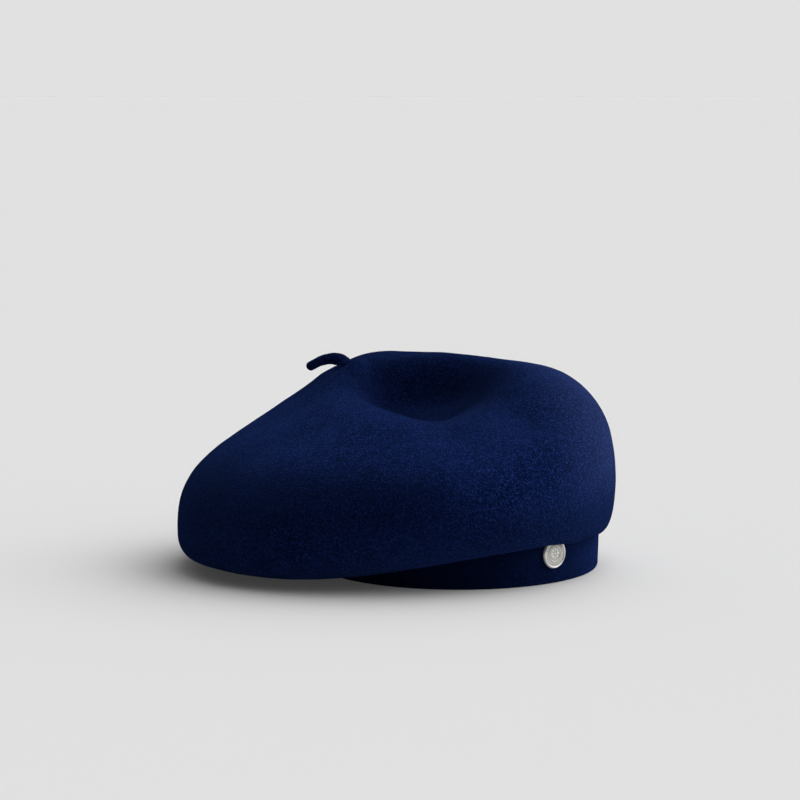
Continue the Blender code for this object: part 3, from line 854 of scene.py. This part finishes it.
def lining_grid(rays, upper_steps):
    """The lining's form, gathered at the head opening into small pleats that fade upwards."""
    way = directions(rays)
    band = reach_of_band(way)
    width = reach_of_crown(way, LINING_INSET) - band
    rim_x = BAND_CENTRE[0] + way[:, 0] * (band + width)
    hang = smoothstep(12 * MM, 50 * MM, width)
    floor = mix(38 * MM, rim_low(rim_x) + 10 * MM, hang)
    widest = widest_z(rim_x) + mix(4 * MM, 2 * MM, hang)
    zero = np.zeros(rays)
    tucked = BAND_FELT + 0.1 * MM
    corners = [
        (zero - tucked, zero + 26 * MM),
        (zero - tucked, zero + 31 * MM),
        (zero - tucked - 0.2 * MM, zero + 34.4 * MM),
        (mix(-1 * MM, 2 * MM, hang), zero + 35.6 * MM),
        (0.60 * width, floor),
        (0.93 * width, mix(floor, widest, 0.5)),
        (width, widest),
    ]
    corners = np.array([np.stack(corner, 1) for corner in corners])
    steps = (3, 3, 3, 10, 6, 5)
    rows = []
    for a, b, count in zip(corners, corners[1:], steps):
        rows += [mix(a, b, i / count) for i in range(count)]
    profile = np.array(rows + [corners[-1]])
    for _ in range(2):
        profile[7:-1] = (profile[6:-2] + 2 * profile[7:-1] + profile[8:]) / 4
    under = out_from_band(way, band, profile[..., 0], profile[..., 1])
    grid = np.concatenate([under, upper_surface(way, under[-1], LINING_INSET, upper_steps)[:-4]])
    turn = np.arctan2(way[:, 1], way[:, 0])
    pleats = np.sin(46 * turn + 1.4 * np.sin(5 * turn)) + 0.5 * np.sin(83 * turn + 2 * np.sin(3 * turn))
    row = np.arange(len(grid))
    strength = 0.75 * MM * smoothstep(6, 14, row) * smoothstep(len(profile) + upper_steps * 0.55, 12, row)
    strength = strength + 0.3 * MM * smoothstep(30, 60, row) * smoothstep(len(grid), len(grid) - 20, row)
    normal = grid_normals(grid)
    return grid + normal * (strength[:, None] * pleats)[..., None], len(profile)


def clear_of_felt(points, room):
    """The points, moved inwards where they are less than the room inside the crown's outer skin."""
    cleared = []
    for point in points:
        nearest, normal, _, _ = crown_skin.find_nearest(Vector(point))
        short = room - (nearest - Vector(point)).dot(normal)
        cleared.append(Vector(point) - normal * max(short, 0))
    return np.array(cleared)


def surface_area(grid):
    """The area of a ring-shaped grid's skin."""
    grid = np.concatenate([grid, grid[:, :1]], 1)
    a = grid[1:, 1:] - grid[:-1, :-1]
    b = grid[1:, :-1] - grid[:-1, 1:]
    return np.linalg.norm(np.cross(a, b), axis=2).sum() / 2


def make_lining():
    grid, under = lining_grid(rays=368, upper_steps=60)
    upper = grid[under + 2 :]
    grid[under + 2 :] = clear_of_felt(upper.reshape(-1, 3), CROWN_FELT + 0.9 * MM).reshape(upper.shape)
    seam_row = under - 1 + 30
    side_grid = grid[: seam_row + 1]
    tip_grid = grid[seam_row:].copy()
    tip_grid[0] = mix(tip_grid[0], tip_grid[1], 0.55)
    # the two edges turn in towards the felt, so that the seam is a fine valley
    inward = grid_normals(grid)[seam_row] * 0.5 * MM
    side_grid[-1] += inward
    tip_grid[0] += inward
    side = grid_object("satin_lining_side", side_grid, True, satin)
    rows, columns = tip_grid.shape[:2]
    middle = np.array((*APEX[:2], TOP_Z - LINING_INSET))
    points = np.concatenate([tip_grid.reshape(-1, 3), middle[None]])
    faces = grid_faces(rows, columns, True).tolist()
    last = (rows - 1) * columns
    faces += [(last + c, last + (c + 1) % columns, rows * columns) for c in range(columns)]
    tip = mesh_object("satin_lining_tip", points, faces, satin)
    area = surface_area(side_grid)
    around = np.linalg.norm(np.diff(side_grid[-1], axis=0), axis=1).sum()
    facts = (
        (side, "lining_side", (round(area / around, 3), round(around, 3)), None, "gathered"),
        (tip, "lining_tip", (0.235, 0.215), round(surface_area(tip_grid), 4), "hung"),
    )
    for piece, node, flat, cut, held in facts:
        solidify(piece, 0.3 * MM)
        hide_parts(node)
        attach(piece, "root")
    seam = mix(side_grid[-1], tip_grid[0], 0.5) - grid_normals(grid)[seam_row] * 0.25 * MM
    stitches("lining_seam_stitches", seam, 2.4 * MM, 0.72, 0.16 * MM, "lining_thread")


# ---- threads


# points along one stitch
STITCH_POINTS = 7
SHORT_STITCH_POINTS = 6
ZIGZAG_POINTS = 8


def stitches(name, line, pitch, share, radius, *nodes, arch=None):
    """Running stitches along a closed line of points, each one an arched bit of thread."""
    line = np.concatenate([line, line[:1]])
    length = length_along(line)
    count = round(length[-1] / pitch)
    paths = []
    for stitch in range(count):
        along = (stitch + np.linspace(0, share, STITCH_POINTS)) * length[-1] / count
        path = np.stack([np.interp(along, length, line[:, i]) for i in range(3)], 1)
        if arch is not None:
            lift = [np.interp(along, length, np.append(arch[:, i], arch[0, i])) for i in range(3)]
            path = path + np.stack(lift, 1) * np.sin(np.linspace(0, math.pi, STITCH_POINTS))[:, None]
        paths.append(path)
    made = tubes(name, paths, radius, thread, 6)
    if nodes:
        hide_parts(*nodes)
    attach(made, "root")


def make_threads():
    turn = np.linspace(0, math.tau, 720, endpoint=False)
    inward = np.column_stack([-oval_normal(turn), 0 * turn])
    inner = SWEAT_INSET + SWEAT_RIBBON
    ring = np.column_stack([oval(turn, inner + 0.02 * MM), 0 * turn + 3.2 * MM])
    stitches("sweatband_stitches", ring, 4 * MM, 0.62, 0.19 * MM, "sweatband_thread", arch=inward * 0.16 * MM)
    top = np.column_stack([oval(turn, inner + 0.02 * MM), 0 * turn + BAND_TOP - 1.2 * MM])
    stitches("sweatband_top_stitches", top, 4 * MM, 0.62, 0.19 * MM, arch=inward * 0.16 * MM)
    # slanting stitches that close the crown's seam, seen from below the fold
    paths = []
    count = 190
    for index in range(count):
        a = math.tau * (index + np.linspace(0, 0.8, SHORT_STITCH_POINTS)) / count
        rise = np.linspace(-1, 1, SHORT_STITCH_POINTS)
        out = oval(a) + oval_normal(a) * (0.12 * MM + 0.16 * MM * np.cos(rise * math.pi / 2))[:, None]
        paths.append(np.column_stack([out, SEAM_Z + 0.1 * MM + rise * 1.0 * MM]))
    seam = tubes("crown_seam_stitches", paths, 0.17 * MM, thread, 6)
    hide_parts("crown_seam_thread")
    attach(seam, "root")
    # the zigzag over the headband's butt joint
    low, high = (v.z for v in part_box("back_joint_thread"))
    levels = np.linspace(low + 0.4 * MM, high - 0.4 * MM, 17)
    paths = []
    for index, (a, b) in enumerate(zip(levels, levels[1:])):
        side = 1 if index % 2 else -1
        across = np.linspace(-side, side, ZIGZAG_POINTS)
        turn = math.pi / 2 - across * 1.4 * MM / BAND_HALF[0]
        lift = 0.12 * MM + 0.22 * MM * np.cos(across * math.pi / 2)
        xy = oval(turn) + oval_normal(turn) * lift[:, None]
        paths.append(np.column_stack([xy, np.linspace(a, b, ZIGZAG_POINTS)]))
    zigzag = tubes("back_joint_zigzag", paths, 0.19 * MM, thread, 6)
    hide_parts("back_joint_thread")
    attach(zigzag, "root")


# ---- labels


def soft_plate(name, width, length, thickness, curl, place, material, rows=34, columns=26):
    """A cloth label hanging from the place's X axis along -Y, slightly curled."""
    x = np.linspace(-width / 2, width / 2, columns)
    y = -np.linspace(0, length, rows)
    grid = np.empty((rows, columns, 3))
    grid[..., 0], grid[..., 1] = np.meshgrid(x, y)
    share = -grid[..., 1] / length
    across = grid[..., 0] / width * 2
    grid[..., 2] = thickness / 2 + curl * (share**2 * 0.7 + 0.3 * share * across**2)
    made = grid_object(name, placed(grid.reshape(-1, 3), place).reshape(grid.shape), False, material)
    solidify(made, thickness, 0)
    return made


def stitch_row(name, start, end, count, lift, place, body, radius=0.13 * MM):
    """A straight row of stitches on a label, in the place's own frame."""
    start, end, lift = (np.array(v, float) for v in (start, end, lift))
    paths = []
    for index in range(count):
        share = (index + np.linspace(0.1, 0.75, SHORT_STITCH_POINTS)) / count
        path = start + (end - start) * share[:, None]
        bulge = np.sin(np.linspace(0, math.pi, SHORT_STITCH_POINTS))[:, None]
        paths.append(placed(path + lift * bulge, place))
    made = tubes(name, paths, radius, thread, 6)
    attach(made, body)


def make_labels():
    inset = SWEAT_INSET + SWEAT_RIBBON + GAP
    start, end = math.radians(112), math.radians(138)
    low, high = (v.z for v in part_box("maker_label"))
    columns = 60
    turn = np.linspace(start, end, columns)
    rows = []
    for height in np.linspace(low, high, 24):
        swell = math.sin((height - low) / (high - low) * math.pi)
        puff = 0.12 * MM * np.sin(np.linspace(0, math.pi, columns)) * swell
        rows.append(np.column_stack([oval(turn, inset + 0.15 * MM + puff), np.full(columns, height)]))
    label = grid_object("woven_maker_label", np.array(rows)[::-1], False, dark_tape)
    solidify(label, 0.3 * MM, 0)
    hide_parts("maker_label")
    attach(label, "root")
    width = np.linalg.norm(np.diff(np.array(rows)[0], axis=0), axis=1).sum()
    line = []
    for a, z in ((start, low), (end, low), (end, high), (start, high)):
        inward = 1 if a == start else -1
        line.append((a + inward * 0.9 * MM / BAND_HALF[0], z + (0.9 * MM if z == low else -0.9 * MM)))
    corners = line + line[:1]
    border = []
    for (a, z), (b, y) in zip(corners, corners[1:]):
        for share in np.linspace(0, 1, 30, endpoint=False):
            t = mix(a, b, share)
            border.append((*oval(np.array(t), inset + 0.42 * MM), mix(z, y, share)))
    stitches("maker_label_stitches", np.array(border), 1.7 * MM, 0.7, 0.12 * MM)
    for node, angle, body in (("care_label", 58, "care_label"), ("size_label", 150, "size_label")):
        place = inner_frame(math.radians(angle), joint(body + "_flip")["pos_m"][2], inset + 0.75 * MM)
        width, length = {"care_label": (16 * MM, 22 * MM), "size_label": (11 * MM, 14 * MM)}[node]
        piece = soft_plate("hanging_" + node, width, length, 0.35 * MM, 0.9 * MM, place, white_tape)
        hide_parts(node)
        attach(piece, body)
        edge = width / 2 - 0.6 * MM
        stitch_row(
            node + "_stitches", (-edge, -1.1 * MM, 0.42 * MM), (edge, -1.1 * MM, 0.42 * MM),
            round(width / (1.6 * MM)), (0, 0, 0.14 * MM), place, body,
        )


# ---- badge and clutch


def closed_rings(name, grid, ends, place, material, step=1):
    """A skin over rings of points, with a fan to a point at each end. A step of -1 turns its faces round."""
    count, sides = grid.shape[:2]
    faces = grid_faces(count, sides, True)[:, ::-1].tolist()
    first, base = count * sides, (count - 1) * sides
    faces += [(first, c, (c + 1) % sides) for c in range(sides)]
    faces += [(first + 1, base + (c + 1) % sides, base + c) for c in range(sides)]
    points = np.concatenate([grid.reshape(-1, 3), ends])
    return mesh_object(name, placed(points, place), [face[::step] for face in faces], material)


def turned(name, profile, place, material, steps):
    """A solid turned about its place's Z axis, from (radius, height) points, on the axis at both ends."""
    profile = np.array(profile)
    turn = np.arange(steps) * math.tau / steps
    ring = profile[1:-1]
    grid = np.stack([ring[:, :1] * np.cos(turn), ring[:, :1] * np.sin(turn), ring[:, 1:] + 0 * turn], 2)
    ends = [(0, 0, profile[0, 1]), (0, 0, profile[-1, 1])]
    return closed_rings(name, grid, ends, place, material)


def bell(distance, width):
    """1 at distance 0, falling to 0 at the width."""
    return 0.5 + 0.5 * np.cos(np.clip(np.abs(distance) / width, 0, 1) * math.pi)


def badge_height(radius, turn):
    """Height of the badge's cast relief, from 0 in its field to 1 on its rim."""
    r = radius / BADGE_RADIUS
    rim = bell(r - 0.915, 0.075) ** 0.6
    inner_rim = 0.62 * bell(r - 0.535, 0.035) ** 0.7
    bars = 0.55 * np.clip(bell(r - 0.715, 0.125) ** 0.5 * (0.5 + 0.5 * np.cos(34 * turn)) ** 1.5, 0, 1)
    beads = 0.4 * bell(r - 0.60, 0.03) * (0.5 + 0.5 * np.cos(68 * turn)) ** 2
    petals = 0.62 * bell(r - 0.27, 0.17) ** 0.6 * np.abs(np.cos(4 * turn)) ** 1.4
    vein = -0.22 * bell(r - 0.27, 0.14) * np.exp(-((np.sin(4 * turn) / 0.18) ** 2))
    buds = 0.42 * bell(r - 0.42, 0.05) * np.abs(np.sin(4 * turn)) ** 6
    boss = 0.8 * bell(r, 0.11) ** 0.7
    layers = (rim, inner_rim, bars, beads, petals + vein, buds, boss)
    return np.maximum.reduce([layer + 0 * turn for layer in layers])


def make_badge():
    place = frame_at(BADGE_AT, BADGE_OUT)
    back = GAP
    field = back + BADGE_THICK - RELIEF_HEIGHT
    steps = 360
    turn = np.arange(steps) * math.tau / steps
    radii = np.linspace(0.02, 0.985, 92) * BADGE_RADIUS
    rows, relief = [], []
    for radius in radii:
        height = badge_height(radius, turn)
        rows.append(np.column_stack([radius * circle(turn), field + height * RELIEF_HEIGHT]))
        relief.append(height)
    edge = ((1.0, 0.62), (1.0, 0.3), (0.995, 0.12), (0.97, 0.02), (0.93, 0.0), (0.1, 0.0))
    for share, level in edge:
        height = np.full(steps, back + level * BADGE_THICK)
        rows.append(np.column_stack([circle(turn) * share * BADGE_RADIUS, height]))
        relief.append(np.full(steps, 0.8 if level > 0.1 else 0.3))
    ends = [(0, 0, field + 0.6 * MM), (0, 0, back)]
    disc = closed_rings("cast_badge", np.array(rows), ends, place, silver, -1)
    point_values(disc, "relief", np.concatenate([np.array(relief).ravel(), [0.8, 0.3]]))
    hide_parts("badge_disc")
    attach(disc, "badge")
    tip = back - PIN_LENGTH
    radius = PIN_RADIUS
    post = turned("badge_pin", (
        (0, back + 0.7 * MM), (radius, back + 0.7 * MM), (radius, tip + 1.75 * MM),
        (radius * 0.72, tip + 1.5 * MM), (radius * 0.7, tip + 1.1 * MM), (radius, tip + 0.9 * MM),
        (radius * 0.55, tip + 0.35 * MM), (radius * 0.12, tip), (0, tip),
    ), place, brass, 40)
    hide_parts("badge_post")
    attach(post, "badge")


def make_clutch():
    """A butterfly clutch: a pressed round cup with a raised boss, and two wings to squeeze."""
    place = frame_at(BADGE_AT, BADGE_OUT)
    seat = -(SWEAT_INSET + SWEAT_RIBBON + GAP)
    bore = 0.8
    profile = MM * np.array((
        (bore, -0.3), (bore + 0.15, 0), (3.2, 0), (4.5, 0), (4.88, -0.12), (5.0, -0.45), (5.0, -1.0),
        (4.86, -1.22), (4.4, -1.28), (3.4, -1.2), (2.75, -1.3), (2.5, -1.6), (2.38, -2.9), (2.2, -3.15),
        (1.9, -3.2), (bore + 0.1, -3.2), (bore, -3.0),
    ))
    steps = 120
    turn = np.arange(steps) * math.tau / steps
    rows = []
    for radius, height in profile:
        out = radius + (0.06 * MM * np.cos(30 * turn) if radius > 4.9 * MM else 0)
        rows.append(np.stack([out * np.cos(turn), out * np.sin(turn), seat + height + 0 * turn], 1))
    rows.append(rows[0])
    grid = np.array(rows)
    faces = grid_faces(len(rows), steps, True).tolist()
    cup = mesh_object("clutch_pressed_cup", placed(grid.reshape(-1, 3), place), faces, brass)
    modifier(cup, "WELD", merge_threshold=0.002 * MM)
    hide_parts("clutch_cup")
    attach(cup, "clutch")
    outline = []
    for along in np.linspace(0, 1, 17):
        outline.append((mix(1.5, 2.6, smoothstep(0.05, 0.55, along)) * MM, -along * 3.1 * MM))
    for turn in np.linspace(0, math.pi / 2, 9)[1:]:
        outline.append((2.6 * MM * math.cos(turn) ** 0.7 if turn < 1.57 else 0.0,
                        -3.1 * MM - 1.3 * MM * math.sin(turn)))
    for name, node, body, side in (
        ("clutch_front_wing", "clutch_wing_front", "wing_front", -1),
        ("clutch_back_wing", "clutch_wing_back", "wing_back", 1),
    ):
        hinge = place @ Matrix.Translation((side * 3.1 * MM, 0, seat - 1.9 * MM))
        lean = Matrix.Rotation(side * math.radians(-42), 4, "Y")
        rows = []
        for half, z in outline:
            y = np.linspace(-1, 1, 13) * max(half, 0.05 * MM)
            dish = 0.22 * MM * (1 - (np.linspace(-1, 1, 13)) ** 2) * smoothstep(0, 2 * MM, -z)
            rows.append(np.stack([side * dish, y, z + 0 * y], 1))
        grid = np.array(rows)
        grid = placed(grid.reshape(-1, 3), hinge @ lean).reshape(grid.shape)
        wing = grid_object(name, grid, False, brass)
        solidify(wing, 0.42 * MM, 0)
        modifier(wing, "BEVEL", width=0.12 * MM, segments=2, limit_method="ANGLE")
        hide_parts(node)
        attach(wing, body)


make_sweatband()
make_bow()
make_lining()
make_threads()
make_labels()
make_badge()
make_clutch()


# ---- stage, lights and camera

PALE = (0.7534, 0.7534, 0.7534)
FLOOR_COLOUR = (0.7150, 0.7150, 0.7150)
# the floor glows faintly, a painted fill light that lifts the shadows on it
FLOOR_GLOW = 0.038
AMBIENT = 0.075
SOFTBOX = math.radians(80)
# one broad softbox, of suns that fade away from its middle: degrees from the front towards the right
SOFTBOX_MIDDLE = 120
SOFTBOX_FADE = 0.85
SOFTBOX_STRENGTH = 0.337
SOFTBOX_AZIMUTHS = (45, 90, 135, 180)
SOFTBOX_ELEVATIONS = (52, 20)
VIEW_ELEVATION = math.radians(8)
VIEW_DISTANCE = 1.8
AIM = Vector((2.2 * MM, 0, 50 * MM))
TILT = math.radians(6.33)
FOCAL_MM = 128.7


def make_stage():
    """A pale floor under soft light from the right and behind, against a plain backdrop of the same tone."""
    floor_look = Look(
        "pale_floor", FLOOR_COLOUR, 1.0, Specular_IOR_Level=0.0, Emission_Strength=FLOOR_GLOW,
        Emission_Color=(1, 1, 1, 1),
    )
    size = 60
    corners = [(-size, -size, 0), (size, -size, 0), (size, size, 0), (-size, size, 0)]
    floor = mesh_object("floor", corners, [(0, 1, 2, 3)], floor_look.material)
    floor.location.z = -0.05 * MM
    world = bpy.data.worlds.new("pale_studio")
    world.use_nodes = True
    nodes, links = world.node_tree.nodes, world.node_tree.links
    ambient = nodes["Background"]
    ambient.inputs["Color"].default_value = (*(AMBIENT,) * 3, 1)
    backdrop = nodes.new("ShaderNodeBackground")
    backdrop.inputs["Color"].default_value = (*PALE, 1)
    either = nodes.new("ShaderNodeMixShader")
    links.new(nodes.new("ShaderNodeLightPath").outputs["Is Camera Ray"], either.inputs[0])
    links.new(ambient.outputs[0], either.inputs[1])
    links.new(backdrop.outputs[0], either.inputs[2])
    links.new(either.outputs[0], nodes["World Output"].inputs[0])
    bpy.context.scene.world = world
    for elevation, azimuth in itertools.product(SOFTBOX_ELEVATIONS, SOFTBOX_AZIMUTHS):
        away = math.radians((azimuth - SOFTBOX_MIDDLE) * SOFTBOX_FADE)
        turn, rise = math.radians(azimuth), math.radians(elevation)
        to_light = Vector((math.sin(turn) * math.cos(rise), -math.cos(turn) * math.cos(rise), math.sin(rise)))
        sun = bpy.data.lights.new(f"softbox_{azimuth}_{elevation}", "SUN")
        sun.energy = math.pi * SOFTBOX_STRENGTH * math.cos(away) ** 2
        sun.angle = SOFTBOX
        lamp = bpy.data.objects.new(sun.name, sun)
        lamp.rotation_mode = "QUATERNION"
        lamp.rotation_quaternion = to_light.to_track_quat("Z", "Y")
        bpy.context.scene.collection.objects.link(lamp)


def make_camera():
    data = bpy.data.cameras.new("camera")
    data.lens = FOCAL_MM
    data.sensor_width = 36
    camera = bpy.data.objects.new("camera", data)
    back = Vector((0, -math.cos(VIEW_ELEVATION), math.sin(VIEW_ELEVATION)))
    camera.location = AIM + back * VIEW_DISTANCE
    camera.rotation_euler = (math.pi / 2 - TILT, 0, 0)
    bpy.context.scene.collection.objects.link(camera)
    bpy.context.scene.camera = camera
    bpy.context.scene.view_settings.view_transform = "Standard"


make_stage()
make_camera()
